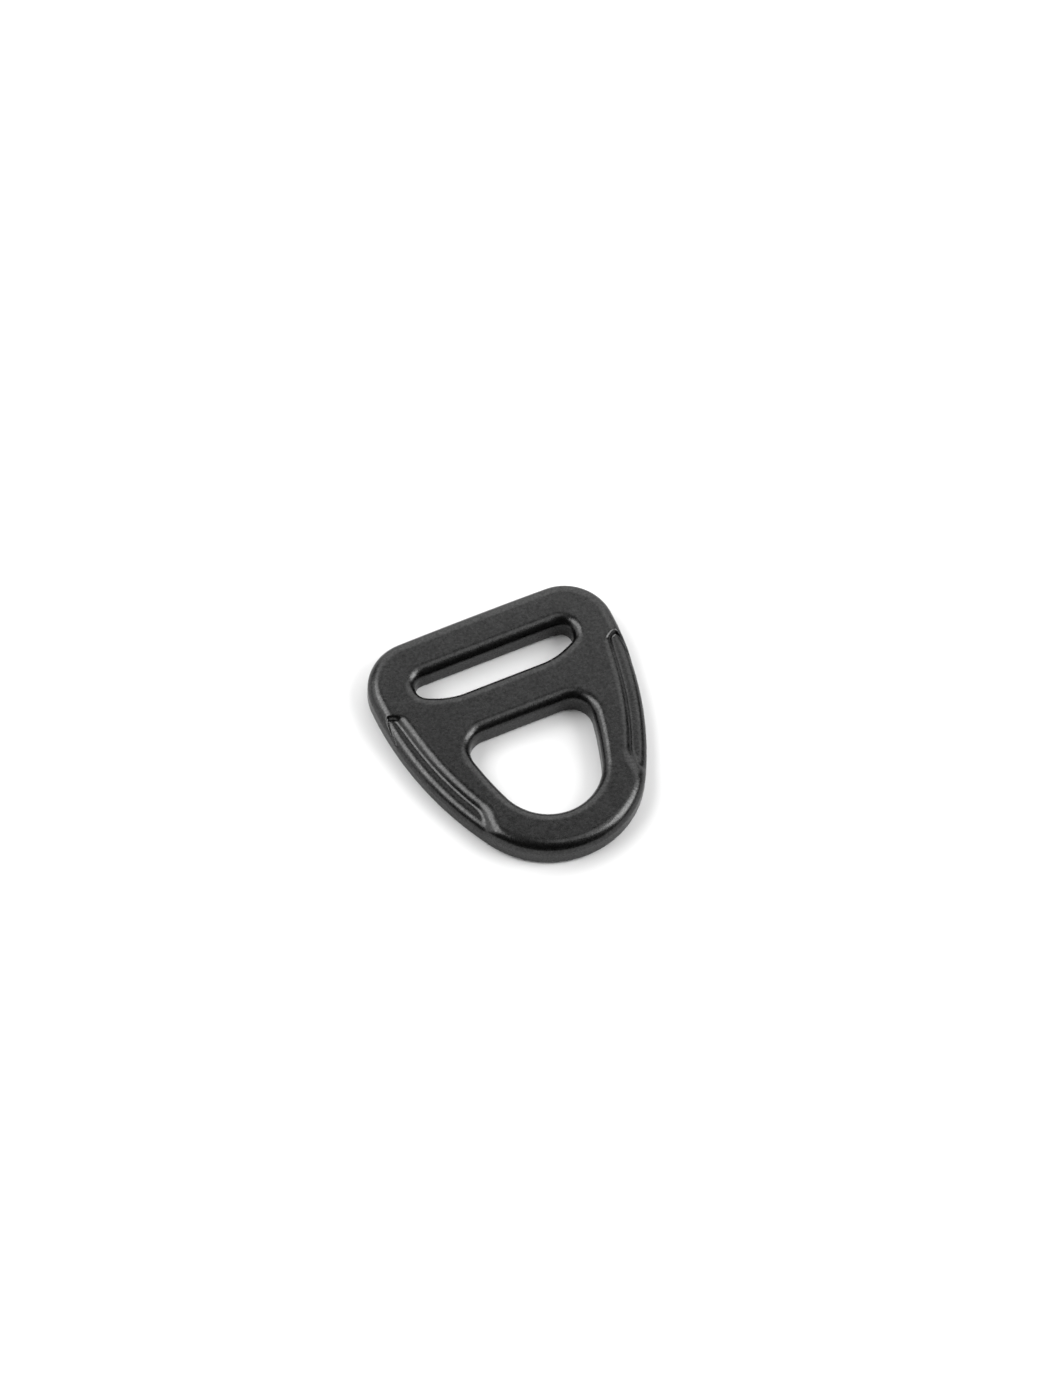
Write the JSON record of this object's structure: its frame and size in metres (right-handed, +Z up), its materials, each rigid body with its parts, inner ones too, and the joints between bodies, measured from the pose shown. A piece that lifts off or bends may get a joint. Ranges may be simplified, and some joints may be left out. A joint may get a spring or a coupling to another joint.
{
  "type": "webbing slider ring",
  "caption": "Flat rounded-triangle strap slider in black coated metal: a long webbing slot beside a D-shaped window, with a stepped ledge along each flank.",
  "frame": {"origin": "on the underside, below the centre of the bounding box", "axes": "+Z up out of the face with the ledges, +Y from the nose towards the webbing slot, +X along the slot"},
  "size_m": [0.0418, 0.0446, 0.005],
  "materials": {
    "black_coated_metal": "fine-grained matte black coating over cast metal"
  },
  "bodies": {
    "root": {"slider_body": "black_coated_metal"}
  },
  "joints": []
}
